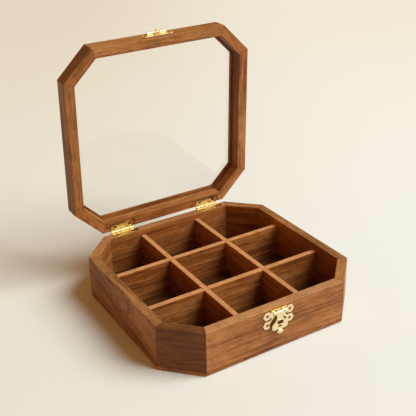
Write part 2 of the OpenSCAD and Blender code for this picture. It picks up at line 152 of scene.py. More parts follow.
class Graph:
    """The nodes of one material or world."""

    def __init__(self, tree: bpy.types.NodeTree) -> None:
        """Starts from an empty tree."""
        self.tree = tree
        tree.nodes.clear()

    def node(
        self,
        kind: str,
        settings: dict[str, object] | None = None,
        inputs: dict[str | int, Feed] | None = None,
    ) -> bpy.types.Node:
        """Adds a node.

        Args:
            kind: the node's type.
            settings: its properties, set first; stops are a ramp's places and colours.
            inputs: values or wires by the sockets' names or numbers.

        Returns:
            The node.
        """
        made = self.tree.nodes.new(kind)
        for name, value in (settings or {}).items():
            if name == "stops":
                self.set_stops(made.color_ramp, value)
            else:
                setattr(made, name, value)
        for key, value in (inputs or {}).items():
            if isinstance(value, Wire):
                self.tree.links.new(value.socket, made.inputs[key])
            else:
                made.inputs[key].default_value = value
        return made

    @staticmethod
    def set_stops(ramp: bpy.types.ColorRamp, stops: Sequence[tuple[float, Colour]]) -> None:
        """Gives a ramp these stops, in rising order."""
        while len(ramp.elements) < len(stops):
            ramp.elements.new(1.0)
        for element, (place, colour) in zip(ramp.elements, stops):
            element.position = place
            element.color = (*colour, 1.0)

    def math(self, operation: str, *values: Feed) -> Wire:
        """One Math node on these values."""
        made = self.node("ShaderNodeMath", {"operation": operation}, dict(enumerate(values)))
        return Wire(self, made.outputs[0])

    def vector(self, operation: str, *values: Feed) -> Wire:
        """One Vector Math node; its vector result."""
        made = self.node("ShaderNodeVectorMath", {"operation": operation}, dict(enumerate(values)))
        return Wire(self, made.outputs["Vector"])

    def mix(self, factor: Feed, a: Feed, b: Feed) -> Wire:
        """Mixes two colours."""
        made = self.node("ShaderNodeMix", {"data_type": "RGBA"})
        for socket, value in zip((made.inputs[0], made.inputs[6], made.inputs[7]), (factor, a, b)):
            if isinstance(value, Wire):
                self.tree.links.new(value.socket, socket)
            else:
                socket.default_value = value if isinstance(value, (int, float)) else (*value[:3], 1.0)
        return Wire(self, made.outputs[2])

    def ramp(self, factor: Wire, stops: Sequence[tuple[float, Colour]]) -> Wire:
        """Reads a smooth colour ramp."""
        made = self.node("ShaderNodeValToRGB", {"stops": stops}, {"Fac": factor})
        made.color_ramp.interpolation = "B_SPLINE"
        return Wire(self, made.outputs["Color"])

    def split(self, vector: Wire) -> tuple[Wire, Wire, Wire]:
        """The three parts of a vector."""
        made = self.node("ShaderNodeSeparateXYZ", None, {0: vector})
        return tuple(Wire(self, made.outputs[i]) for i in range(3))

    def join(self, x: Feed, y: Feed, z: Feed) -> Wire:
        """A vector from three values."""
        return Wire(self, self.node("ShaderNodeCombineXYZ", None, {0: x, 1: y, 2: z}).outputs[0])

    def noise(self, place: Wire, detail: float = 2.0, rough: float = 0.5, lines: bool = False) -> Wire:
        """Noise at a place that is already scaled.

        Args:
            place: a vector, or a single value where lines is set.
            detail: the octaves.
            rough: how strong the finer octaves are.
            lines: noise of one value instead of three.

        Returns:
            The noise, about 0.5 in the mean.
        """
        settings = {"noise_dimensions": "1D" if lines else "3D"}
        inputs = {"W" if lines else "Vector": place, "Scale": 1.0, "Detail": detail, "Roughness": rough}
        return Wire(self, self.node("ShaderNodeTexNoise", settings, inputs).outputs["Fac"])

    def local(self, place: Matrix) -> Wire:
        """Coordinates in metres in the frame of a board or fitting.

        Args:
            place: that frame in the row's own frame.

        Returns:
            The vector from its origin.
        """
        coords = Wire(self, self.node("ShaderNodeTexCoord").outputs["Object"])
        where, turn, _ = place.decompose()
        made = self.node(
            "ShaderNodeMapping",
            {"vector_type": "TEXTURE"},
            {"Vector": coords, "Location": where, "Rotation": turn.to_euler()},
        )
        return Wire(self, made.outputs[0])

    def bump(self, height: Wire, depth: float) -> Wire:
        """A Bump node for a height from 0 to 1 that stands for depth metres."""
        made = self.node("ShaderNodeBump", None, {"Height": height, "Distance": depth, "Strength": 1.0})
        return Wire(self, made.outputs[0])

    def output(self, shader: bpy.types.NodeSocket, world: bool = False) -> None:
        """Ends the tree with this shader."""
        end = self.node("ShaderNodeOutputWorld" if world else "ShaderNodeOutputMaterial")
        self.tree.links.new(shader, end.inputs["Surface"])


def new_material(name: str) -> tuple[bpy.types.Material, Graph]:
    """A material with its empty graph."""
    material = bpy.data.materials.new(name)
    material.use_nodes = True
    return material, Graph(material.node_tree)


# Finishes.


@dataclass(frozen=True)
class Grain:
    """Noise that is stretched along one direction.

    Attributes:
        along: how often it changes in a metre along X.
        across: how often it changes in a metre along the second direction.
        inward: how often it changes in a metre along the third direction.
        detail: its octaves.
        rough: how strong the finer octaves are.
    """

    along: float
    across: float
    inward: float
    detail: float = 2.0
    rough: float = 0.5

    def noise(self, g: Graph, at: Sequence[Wire], offset: Sequence[float] = (0.0, 0.0, 0.0)) -> Wire:
        """Reads the noise.

        Args:
            g: the material's graph.
            at: the three coordinates, in metres.
            offset: moves the pattern, counted in its own steps.

        Returns:
            The noise, about 0.5 in the mean.
        """
        scaled = [wire * often for wire, often in zip(at, (self.along, self.across, self.inward))]
        moved = [wire + by if by else wire for wire, by in zip(scaled, offset)]
        return g.noise(g.join(*moved), self.detail, self.rough)


@dataclass(frozen=True)
class BoardCut:
    """Where a board's grain runs, and where in the log it was sawn.

    Attributes:
        place: the board's frame: X along the grain, Y into the wood, Z across it.
        seed: a number that tells one board's figure from another's.
        pith: the heart of the log in that frame, in metres across (Y, Z).
        lean: how much the rings climb along the board.
        tone: how light the board is against the others.
        tint: how much of its red, green and blue the board keeps.
        wave: how far the rings wander, in metres.
        contrast: how strongly the figure shows.
        half: half the board's outer length where its ends are mitred.
        seat: height of the glue line under the board, where it stands on another.
        highlight_crest: height above which the top is lighter: sanded wood with a painted highlight.
        sanded_highlight: how much lighter that top is.
        inner: depth past which the board shows its inner face.
        lining: how much red, green and blue that face keeps.
        outer: how light the board's outer face is against the rest of it; below 1 this is painted shade on a
            face turned away from the key light.
        recess_shadows: middles of the painted shadows at the ends of the hinges' recesses, along the board.
        recess_shadow_deep: how far those go into the board from its outer face.
        recess_shadow_span: the heights between which they lie.
        recess_shadow_half: half their width.
    """

    place: Matrix
    seed: float
    pith: Point = (0.09, -0.02)
    lean: float = 0.02
    tone: float = 1.0
    tint: Colour = (1.0, 1.0, 1.0)
    wave: float = 0.005
    contrast: float = 1.0
    half: float | None = None
    seat: float | None = None
    highlight_crest: float | None = None
    sanded_highlight: float = 0.6
    inner: float | None = None
    lining: Colour = (0.97, 0.85, 0.74)
    outer: float = 1.0
    recess_shadows: Sequence[float] = ()
    recess_shadow_deep: float = 0.0095
    recess_shadow_span: Point = (0.0, 0.0)
    recess_shadow_half: float = 0.0008

    def lines_and_shadows(self, g: Graph, x: Wire, y: Wire, z: Wire) -> list[Wire]:
        """Finds the dark glue lines on the board, and the painted shadows at the ends of the hinges'
        recesses.

        Args:
            g: the material's graph.
            x: distance along the board from its middle, in metres.
            y: distance in from its outer face.
            z: height above its lower edge.

        Returns:
            Masks of the glue lines at the mitres and under the board, and of the painted shadows at the
            recesses' ends.
        """
        found: list[Wire] = []
        if self.half is not None:
            gap = self.half - y * math.tan(MITRE) - abs(x)
            found.append(gap.step(0.00045, 0.00005))
        if self.seat is not None:
            found.append(abs(z - self.seat).step(0.0006, 0.0001))
        # Painted shadows at the ends of the hinges' recesses, where the recess runs past the leaf and lies
        # in shade.
        if self.recess_shadows:
            low, high = self.recess_shadow_span
            deep = y.step(self.recess_shadow_deep, self.recess_shadow_deep - 0.0003)
            zone = deep * z.step(low - 0.0002, low + 0.0002) * z.step(high + 0.0002, high - 0.0002)
            recess_shades = [abs(x - at).step(self.recess_shadow_half, self.recess_shadow_half - 0.0003) for at in self.recess_shadows]
            found += [end * zone for end in recess_shades]
        return found


@dataclass(frozen=True)
class Walnut:
    """Oiled walnut with dark growth streaks, pores and a silky finish."""

    heart: Colour = (0.058, 0.017, 0.005)
    brown: Colour = (0.180, 0.058, 0.015)
    tan: Colour = (0.320, 0.118, 0.034)
    honey: Colour = (0.475, 0.218, 0.073)
    # Colour of the lighter top: sanded wood with a painted highlight.
    highlight_crest: Colour = (0.570, 0.300, 0.145)
    inside: Colour = (0.97, 0.85, 0.74)
    bands: float = 75.0
    rough: float = 0.5
    wander: Grain = Grain(7.0, 16.0, 16.0)
    streak: Grain = Grain(17.0, 480.0, 60.0, 3.0, 0.62)
    blush: Grain = Grain(11.0, 45.0, 20.0)
    fleck: Grain = Grain(90.0, 1000.0, 250.0, 2.0, 0.6)
    mottle: Grain = Grain(75.0, 60.0, 60.0, 3.0, 0.65)
    mottle_slant: float = 0.5333
    fibre: Grain = Grain(120.0, 1900.0, 1900.0, 2.0, 0.6)
    pore: Grain = Grain(190.0, 1900.0, 1900.0, 1.0, 0.4)
    sheen: Grain = Grain(60.0, 1500.0, 1500.0, 3.0, 0.6)

    def dress(self, name: str, cut: BoardCut) -> bpy.types.Material:
        """Makes the material of one board.

        Args:
            name: the board's name.
            cut: how the board lies in the log.

        Returns:
            The material.
        """
        material, g = new_material(f"{name}_walnut")
        at = g.split(g.local(cut.place))
        colour, height = self.figure(g, at, cut)
        lines_and_shadows = cut.lines_and_shadows(g, *at)
        # Darkens the glue lines, and paints the shadows at the recesses' ends.
        if lines_and_shadows:
            line_or_shadow = reduce(lambda one, other: g.math("MAXIMUM", one, other), lines_and_shadows)
            colour = g.mix(line_or_shadow * 0.75, colour, tuple(0.35 * part for part in self.heart))
        inputs = {
            "Base Color": colour,
            "Roughness": self.rough + (self.sheen.noise(g, at) - 0.5) * 0.25,
            "Normal": g.bump(height, 0.00012),
            "Specular IOR Level": 0.2,
        }
        g.output(g.node("ShaderNodeBsdfPrincipled", None, inputs).outputs[0])
        return material

    def figure(self, g: Graph, at: Sequence[Wire], cut: BoardCut) -> tuple[Wire, Wire]:
        """Works out the bare wood.

        Args:
            g: the material's graph.
            at: distances along the grain, into the board and across it, in metres.
            cut: how the board lies in the log.

        Returns:
            The colour, and a height from 0 to 1 for the bump.
        """
        x, y, z = at
        shift = cut.seed * 3.7
        along_shift = (shift, 0.0, 0.0)
        wander = self.wander.noise(g, at, (shift, 0.0, cut.seed)) - 0.5
        across = z - cut.pith[1] + x * cut.lean
        inward = y - cut.pith[0]
        ring = g.math("SQRT", across * across + inward * inward) + wander * cut.wave
        rings = (x, ring, inward)
        band = g.noise(ring * self.bands + shift, lines=True) - 0.5
        streak = self.streak.noise(g, rings, along_shift) - 0.5
        blush = self.blush.noise(g, rings, along_shift) - 0.5
        shade = 0.56 + (band * 0.30 + streak * 0.62 + blush * 0.40) * cut.contrast
        stops = [(0.24, self.heart), (0.42, self.brown), (0.56, self.tan), (0.78, self.honey)]
        colour = g.ramp(shade, stops)
        mottle = self.mottle.noise(g, (x + z * self.mottle_slant, y, z), (0.0, 0.0, shift)) - 0.5
        fibre = self.fibre.noise(g, at, (0.0, shift, 0.0))
        pores = self.pore.noise(g, at, along_shift).step(0.58, 0.70)
        light = (mottle * 0.75 + (fibre - 0.5) * 0.6 + 1.0) * cut.tone
        flecks: Feed = self.fleck.noise(g, rings, along_shift).step(0.50, 0.70) * (0.42 * cut.contrast)
        # The top is lighter: sanded wood, and a painted highlight where the tops face the key light.
        if cut.highlight_crest is not None:
            sanded_highlight = z.step(cut.highlight_crest, cut.highlight_crest + 0.0005) * cut.sanded_highlight
            colour = g.mix(sanded_highlight, colour, self.highlight_crest)
            flecks = flecks * (1.0 - sanded_highlight)
        light = light * (1.0 - pores * 0.4) * (1.0 - flecks)
        # Painted shade on the outer face, which turns away from the key light.
        if cut.outer != 1.0:
            light = light * (1.0 + y.step(0.0009, 0.0005) * (cut.outer - 1.0))
        if cut.inner is not None:
            within = y.step(cut.inner - 0.0003, cut.inner)
            colour = g.mix(within, colour, g.vector("MULTIPLY", colour, cut.lining))
        colour = g.vector("MULTIPLY", colour, g.join(*(light * part for part in cut.tint)))
        return colour, fibre * 0.35 + (1.0 - pores) * 0.65


@dataclass(frozen=True)
class Brass:
    """Polished brass, a little uneven in colour and gloss.

    Attributes:
        bright: colour of the clean brass.
        deep: colour of the worn and pitted brass.
        rough: roughness in the mean.
        pitting: how much the pits darken it.
        grain: depth of the brushing and the pits, in metres.
        cloud: where it is more or less worn.
        brushed: the marks of the brush.
        pits: the pits.
    """

    bright: Colour = (0.98, 0.84, 0.54)
    deep: Colour = (0.90, 0.70, 0.38)
    rough: float = 0.15
    pitting: float = 0.3
    grain: float = 0.000008
    cloud: Grain = Grain(160.0, 160.0, 160.0, 3.0, 0.6)
    brushed: Grain = Grain(500.0, 4000.0, 4000.0)
    pits: Grain = Grain(2600.0, 2600.0, 2600.0, 1.0)

    def dress(self, name: str) -> bpy.types.Material:
        """Makes the material under this name."""
        material, g = new_material(name)
        at = g.split(g.local(Matrix.Identity(4)))
        cloud, brushed = self.cloud.noise(g, at), self.brushed.noise(g, at)
        pits = self.pits.noise(g, at).step(0.66, 0.74)
        worn = cloud.step(0.35, 0.72) * 0.55 + pits * self.pitting
        inputs = {
            "Base Color": g.mix(worn, self.bright, self.deep),
            "Metallic": 1.0,
            "Roughness": self.rough + (cloud - 0.5) * 0.16 + (brushed - 0.5) * 0.12,
            "Normal": g.bump(brushed * 0.5 + (1.0 - pits) * 0.5, self.grain),
        }
        g.output(g.node("ShaderNodeBsdfPrincipled", None, inputs).outputs[0])
        return material


@dataclass(frozen=True)
class ClearGlass:
    """Clear float glass, a touch warm, that lets the lamps through."""

    tint: Colour = (0.992, 0.993, 0.986)
    mirror: Colour = (0.95, 0.96, 0.94)
    ior: float = 1.5
    smears: Grain = Grain(14.0, 14.0, 9.0, 3.0, 0.6)

    def dress(self, name: str) -> bpy.types.Material:
        """Makes the material under this name."""
        material, g = new_material(name)
        at = g.split(g.local(Matrix.Identity(4)))
        smear = self.smears.noise(g, at).step(0.50, 0.80)
        clear = g.node("ShaderNodeBsdfTransparent", None, {"Color": (*self.tint, 1.0)})
        inputs = {"Base Color": (*self.mirror, 1.0), "Metallic": 1.0, "Roughness": smear * 0.10 + 0.01}
        gloss = g.node("ShaderNodeBsdfPrincipled", None, inputs)
        facing = Wire(g, g.node("ShaderNodeFresnel", None, {"IOR": self.ior}).outputs[0])
        pane = g.node("ShaderNodeMixShader", None, {0: facing * 0.35 + smear * 0.004})
        g.tree.links.new(clear.outputs[0], pane.inputs[1])
        g.tree.links.new(gloss.outputs[0], pane.inputs[2])
        g.output(pane.outputs[0])
        return material


# Mesh making, in millimetres.


def around(steps: int) -> list[float]:
    """Angles round a circle, in radians."""
    return [math.tau * i / steps for i in range(steps)]


def circle(radius: float, centre: Point = (0.0, 0.0), steps: int = 32) -> list[Point]:
    """Points round a circle, anticlockwise."""
    return [(centre[0] + radius * math.cos(a), centre[1] + radius * math.sin(a)) for a in around(steps)]


def box_loop(left: float, low: float, right: float, high: float) -> list[Point]:
    """The four corners of a rectangle."""
    return [(left, low), (right, low), (right, high), (left, high)]


def pill(wide: float, high: float, centre: Point = (0.0, 0.0), steps: int = 12) -> list[Point]:
    """Points round a slot with half round ends, longer along X."""
    reach = (wide - high) / 2
    loop: list[Point] = []
    for side in (1, -1):
        for i in range(steps + 1):
            a = math.radians(-90 + 180 * i / steps)
            x, y = reach + high / 2 * math.cos(a), high / 2 * math.sin(a)
            loop.append((centre[0] + side * x, centre[1] + side * y))
    return loop


def flipped(loop: Sequence[Point]) -> list[Point]:
    """The loop mirrored in the Y axis."""
    return [(-x, y) for x, y in reversed(loop)]


def anticlockwise(loop: Sequence[Point]) -> list[Point]:
    """The loop, turned round if it runs clockwise."""
    twice = sum(a[0] * b[1] - b[0] * a[1] for a, b in zip(loop, [*loop[1:], loop[0]]))
    return list(loop) if twice > 0 else list(reversed(loop))


class Stencil:
    """A flat outline made by adding and cutting loops."""

    def __init__(self) -> None:
        """Starts with nothing."""
        self.loops: list[tuple[bool, list[Point]]] = []

    def add(self, *loops: Sequence[Point]) -> "Stencil":
        """Adds the areas inside these loops."""
        self.loops += [(True, anticlockwise(loop)) for loop in loops]
        return self

    def cut(self, *loops: Sequence[Point]) -> "Stencil":
        """Cuts the areas inside these loops."""
        self.loops += [(False, anticlockwise(loop)) for loop in loops]
        return self

    def ring(
        self, outer: float, bore: float, centre: Point = (0.0, 0.0), steps: tuple[int, int] = (36, 24)
    ) -> "Stencil":
        """Adds a ring by its two radii, outer and bore."""
        return self.add(circle(outer, centre, steps[0])).cut(circle(bore, centre, steps[1]))

    def sheet(self) -> bmesh.types.BMesh:
        """The outline as flat faces at height 0."""
        points = [Vector(p) for _, loop in self.loops for p in loop]
        faces, start = [], 0
        for _, loop in self.loops:
            faces.append(list(range(start, start + len(loop))))
            start += len(loop)
        verts, _, tris, _, _, owners = delaunay_2d_cdt(points, [], faces, 0, 1e-5, True)
        solid = {i for i, (keeps, _) in enumerate(self.loops) if keeps}
        bm = bmesh.new()
        made = [bm.verts.new((v.x, v.y, 0.0)) for v in verts]
        for tri, inside in zip(tris, owners):
            if inside and all(i in solid for i in inside):
                bm.faces.new([made[i] for i in tri])
        bmesh.ops.recalc_face_normals(bm, faces=bm.faces)
        if bm.faces and sum(f.normal.z for f in bm.faces) < 0:
            bmesh.ops.reverse_faces(bm, faces=bm.faces)
        loose = [v for v in bm.verts if not v.link_faces]
        bmesh.ops.delete(bm, geom=loose, context="VERTS")
        bmesh.ops.dissolve_limit(bm, angle_limit=0.01, verts=bm.verts, edges=bm.edges)
        return bm

    def plate(self, thick: float, ease: float, segments: int = 2) -> bmesh.types.BMesh:
        """The outline as a plate with eased edges.

        Args:
            thick: the plate's thickness.
            ease: width of the eased edges.
            segments: steps across each eased edge.

        Returns:
            The mesh, from height 0 up.
        """
        bm = self.sheet()
        lower = list(bm.faces)
        made = bmesh.ops.extrude_face_region(bm, geom=lower)
        raised = [g for g in made["geom"] if isinstance(g, bmesh.types.BMVert)]
        bmesh.ops.translate(bm, verts=raised, vec=(0, 0, thick))
        bmesh.ops.recalc_face_normals(bm, faces=bm.faces)
        ease_edges(bm, ease, segments)
        return bm


def ease_edges(bm: bmesh.types.BMesh, ease: float, segments: int) -> None:
    """Rounds every edge that turns by more than 32 degrees."""
    limit = math.radians(32)
    sharp = [e for e in bm.edges if len(e.link_faces) == 2 and e.calc_face_angle(0.0) > limit]
    shape = {"segments": segments, "profile": 0.5, "affect": "EDGES", "clamp_overlap": True}
    if sharp:
        bmesh.ops.bevel(bm, geom=sharp, offset=ease, **shape)


def skin(bm: bmesh.types.BMesh, rings: Sequence[Sequence[bmesh.types.BMVert]]) -> bmesh.types.BMesh:
    """Joins rings of points in order and closes the ends; a ring of one point is a tip."""
    steps = max(len(ring) for ring in rings)
    for low, high in zip(rings, rings[1:]):
        for i in range(steps):
            j = (i + 1) % steps
            corners = [low[i % len(low)], low[j % len(low)], high[j % len(high)], high[i % len(high)]]
            unique = list(dict.fromkeys(corners))
            if len(unique) > 2:
                bm.faces.new(unique)
    for ring in (rings[0], rings[-1]):
        if len(ring) > 2:
            bm.faces.new(ring)
    bmesh.ops.recalc_face_normals(bm, faces=bm.faces)
    return bm


def lathe(profile: Sequence[Point], steps: int = 32) -> bmesh.types.BMesh:
    """Turns a profile of (radius, height) points about Z."""
    bm = bmesh.new()
    rings: list[list[bmesh.types.BMVert]] = []
    for radius, height in profile:
        spots = circle(radius, steps=steps) if radius > 1e-6 else [(0.0, 0.0)]
        rings.append([bm.verts.new((*spot, height)) for spot in spots])
    return skin(bm, rings)


def mirrored(half: Sequence[Point]) -> list[Point]:
    """A profile and its mirror image above height 0."""
    return [*half, *((radius, -height) for radius, height in reversed(half))]


def tube(path: Sequence[Vector], radius: float, steps: int = 20) -> bmesh.types.BMesh:
    """Sweeps a circle along a path that lies in the XZ plane."""
    bm = bmesh.new()
    rings: list[list[bmesh.types.BMVert]] = []
    flat = Vector((0, 1, 0))
    for i, place in enumerate(path):
        ahead = path[min(i + 1, len(path) - 1)] - path[max(i - 1, 0)]
        side = ahead.normalized().cross(flat)
        ring = [place + radius * (side * math.cos(a) + flat * math.sin(a)) for a in around(steps)]
        rings.append([bm.verts.new(v) for v in ring])
    return skin(bm, rings)


def gather(*parts: tuple[bmesh.types.BMesh, Matrix]) -> bmesh.types.BMesh:
    """Puts several meshes together, each at its place."""
    whole = bmesh.new()
    for bm, place in parts:
        mesh = bpy.data.meshes.new("shell")
        bm.to_mesh(mesh)
        mesh.transform(place)
        whole.from_mesh(mesh)
        bpy.data.meshes.remove(mesh)
    return whole


def carve(solid: bmesh.types.BMesh, tool: bmesh.types.BMesh) -> bmesh.types.BMesh:
    """Takes one closed mesh out of another.

    Args:
        solid: the mesh that stays.
        tool: the mesh that is cut away.

    Returns:
        What is left.
    """
    made = []
    for name, bm in (("solid", solid), ("tool", tool)):
        mesh = bpy.data.meshes.new(name)
        bm.to_mesh(mesh)
        obj = bpy.data.objects.new(name, mesh)
        bpy.context.scene.collection.objects.link(obj)
        made.append(obj)
    cut = made[0].modifiers.new("cut", "BOOLEAN")
    cut.operation = "DIFFERENCE"
    cut.solver = "EXACT"
    cut.object = made[1]
    shown = made[0].evaluated_get(bpy.context.evaluated_depsgraph_get())
    left = bmesh.new()
    left.from_mesh(shown.to_mesh())
    for obj in made:
        mesh = obj.data
        bpy.data.objects.remove(obj)
        bpy.data.meshes.remove(mesh)
    return left


def cuboid(low: Sequence[float], high: Sequence[float]) -> bmesh.types.BMesh:
    """A block between two corners."""
    bm = bmesh.new()
    bmesh.ops.create_cube(bm, size=1.0)
    size = Vector(high) - Vector(low)
    bmesh.ops.scale(bm, vec=size, verts=bm.verts)
    bmesh.ops.translate(bm, vec=(Vector(high) + Vector(low)) / 2, verts=bm.verts)
    return bm


MOVE = Matrix.Translation
ALONG_X = Matrix(((0, 0, 1, 0), (1, 0, 0, 0), (0, 1, 0, 0), (0, 0, 0, 1)))


def turn(degrees: float, axis: str) -> Matrix:
    """A rotation about one axis."""
    return Matrix.Rotation(math.radians(degrees), 4, axis)


def finish_piece(
    node: str, bm: bmesh.types.BMesh, place: Matrix, body: Body, slot: str, material: bpy.types.Material
) -> None:
    """Turns a mesh in millimetres into a brass piece that stands for a node of the frame.

    Args:
        node: the node that it stands for.
        bm: its mesh.
        place: the mesh's frame at rest, in millimetres.
        body: the body that it rides on.
        slot: the record's material slot; not used.
        material: its finish.
    """
    name = f"{node}_brass"
    mesh = bpy.data.meshes.new(name)
    bm.to_mesh(mesh)
    bm.free()
    mesh.transform(Matrix.Scale(MM, 4) @ place)
    mesh.shade_smooth()
    mesh.set_sharp_from_angle(angle=math.radians(40))
    mesh.materials.append(material)
    obj = bpy.data.objects.new(name, mesh)
    bpy.context.scene.collection.objects.link(obj)
    even = obj.modifiers.new("even_normals", "WEIGHTED_NORMAL")
    even.keep_sharp = True
    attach(obj, body.value)
    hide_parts(node)
    LOG.info("%s: %d faces on %s", name, len(mesh.polygons), body.value)


def dress_node(node: str, material: bpy.types.Material) -> None:
    """Gives a node of the frame a finish on all its slots."""
    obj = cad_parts[node]
    if not obj.material_slots:
        obj.data.materials.append(None)
    for slot in obj.material_slots:
        slot.material = material
    LOG.info("%s: dressed as %s", node, material.name)


# The box.


@dataclass(frozen=True)
class Sizes:
    """Sizes that several pieces share, in millimetres."""

    width: float = 240.0
    depth: float = 228.0
    height: float = 51.5
    cut: float = 35.0
    wall: float = 10.5
    ease: float = 0.8
    floor: float = 5.0
    reveal: float = 2.0
    lid_gap: float = 0.4
    lid_open: float = 88.0
    pin_back: float = 2.1
    clasp_drop: float = 4.6
    slot_drop: float = 11.8

    @property
    def lid_width(self) -> float:
        """Width of the lid."""
        return self.width - 2 * self.reveal

    @property
    def lid_depth(self) -> float:
        """Depth of the lid, flush with the box at the back."""
        return self.depth - self.reveal

    @property
    def lid_cut(self) -> float:
        """How far the lid's corners are cut back."""
        return self.cut - (2 - math.sqrt(2)) * self.reveal

    @property
    def lid_low(self) -> float:
        """Height of the closed lid's underside."""
        return self.height + self.lid_gap

    @property
    def hinge_line(self) -> Vector:
        """A point on the line of the hinge pins."""
        return Vector((0, self.depth / 2 + self.pin_back, self.height + self.lid_gap / 2))

    @property
    def clasp_high(self) -> float:
        """Height of the clasp's pin."""
        return self.height - self.clasp_drop

    def lid_pose(self) -> Matrix:
        """Carries the closed lid to the open pose, in millimetres."""
        return MOVE(self.hinge_line) @ turn(-self.lid_open, "X") @ MOVE(-self.hinge_line)


SIZES = Sizes()


def side_place(side: Side, width: float, depth: float, cut: float) -> tuple[Matrix, float]:
    """Frame of one side of an octagon, in millimetres.

    Args:
        side: which side.
        width: the octagon's size along X.
        depth: its size along Y.
        cut: how far its corners are cut back.

    Returns:
        The frame, X along the side and Y inwards, and the side's length.
    """
    a = side.turn - math.pi / 2
    if side.across_corner:
        x, y = (width - cut) / 2, (depth - cut) / 2
        middle = (math.copysign(x, math.cos(a)), math.copysign(y, math.sin(a)))
        length = cut * math.sqrt(2)
    else:
        middle = (math.cos(a) * width / 2, math.sin(a) * depth / 2)
        length = (width if side.value % 4 == 0 else depth) - 2 * cut
    return MOVE((*middle, 0)) @ Matrix.Rotation(side.turn, 4, "Z"), length


def in_metres(place: Matrix) -> Matrix:
    """The same frame with its origin in metres."""
    scaled = place.copy()
    scaled.translation = place.translation * MM
    return scaled


@dataclass
class BoxShell:
    """The eight walls and the bottom board.

    Attributes:
        wood: the walls' finish.
        tones: how light each wall is, by its side; the front-left wall's low tone is painted shade.
        piths: the heart of the log behind each wall, in metres across.
        shaded: how much red, green and blue the front-left wall keeps: painted shade, as that wall faces
            away from the key light.
    """

    wood: Walnut = field(default_factory=Walnut)
    # The front-left wall's low tone is painted shade.
    tones: dict[Side, float] = field(
        default_factory=lambda: {Side.FRONT_LEFT: 0.43, Side.LEFT: 0.80, Side.FRONT: 1.04, Side.RIGHT: 0.9}
    )
    piths: dict[Side, Point] = field(
        default_factory=lambda: {
            Side.FRONT_LEFT: (0.05, 0.19),
            Side.LEFT: (0.035, 0.045),
            Side.FRONT: (0.04, -0.22),
        }
    )
    shaded: Colour = (1.0, 0.86, 0.70)

    def wall_cut(self, side: Side) -> BoardCut:
        """How the wall of one side was sawn."""
        place, length = side_place(side, SIZES.width, SIZES.depth, SIZES.cut)
        high = SIZES.height - SIZES.floor
        return BoardCut(
            place=in_metres(MOVE((0, 0, SIZES.floor)) @ place),
            seed=1.0 + side.value * 2.3,
            pith=self.piths.get(side, (0.05, 0.11 + 0.02 * (side.value % 3))),
            lean=0.28 if side is Side.LEFT else 0.02 * (-1) ** side.value,
            tone=self.tones.get(side, 1.0),
            # The front-left wall's tint is painted shade.
            tint=self.shaded if side is Side.FRONT_LEFT else (1.0, 1.0, 1.0),
            contrast=1.5 if side is Side.LEFT else 1.0,
            half=length / 2 * MM,
            seat=0.0,
            # Lighter top: sanding and a painted highlight.
            highlight_crest=(high - SIZES.ease) * MM,
            sanded_highlight=0.5 if side is Side.FRONT else 0.12,
            inner=(SIZES.wall - 0.2) * MM,
            # Painted shadows at the ends of the hinges' recesses on the back wall.
            recess_shadows=RECESS_ENDS if side is Side.BACK else (),
            recess_shadow_span=((high - RECESS_DEEP) * MM, SIZES.height * MM),
        )

    def build(self) -> None:
        """Dresses the walls and the bottom board."""
        for side in Side:
            node = f"{side.word}_wall"
            dress_node(node, self.wood.dress(node, self.wall_cut(side)))
        low = BoardCut(
            place=Matrix.Identity(4),
            seed=31.0,
            pith=(0.3, -0.16),
            tone=0.95,
            tint=self.wood.inside,
            contrast=1.05,
            seat=SIZES.floor * MM,
        )
        dress_node("bottom_board", self.wood.dress("bottom_board", low))


@dataclass
class DividerGrid:
    """The four crossed dividers.

    Attributes:
        wood: their finish.
        top: height of their upper edges, in millimetres.
        ease: how much those edges are rounded.
    """

    wood: Walnut = field(default_factory=Walnut)
    top: float = 44.2
    ease: float = 0.6

    def build(self) -> None:
        """Dresses the dividers, each with its grain along it."""
        turns = {"front_divider": 0, "back_divider": 0, "left_divider": 90, "right_divider": 90}
        for index, (node, degrees) in enumerate(turns.items()):
            cut = BoardCut(
                place=turn(degrees, "Z"),
                seed=50.0 + 4.1 * index,
                pith=(0.04, -0.12),
                tone=1.1,
                tint=self.wood.inside,
                contrast=1.2,
                # Lighter top: sanding and a painted highlight.
                highlight_crest=(self.top - self.ease) * MM,
                sanded_highlight=0.85,
            )
            dress_node(node, self.wood.dress(node, cut))


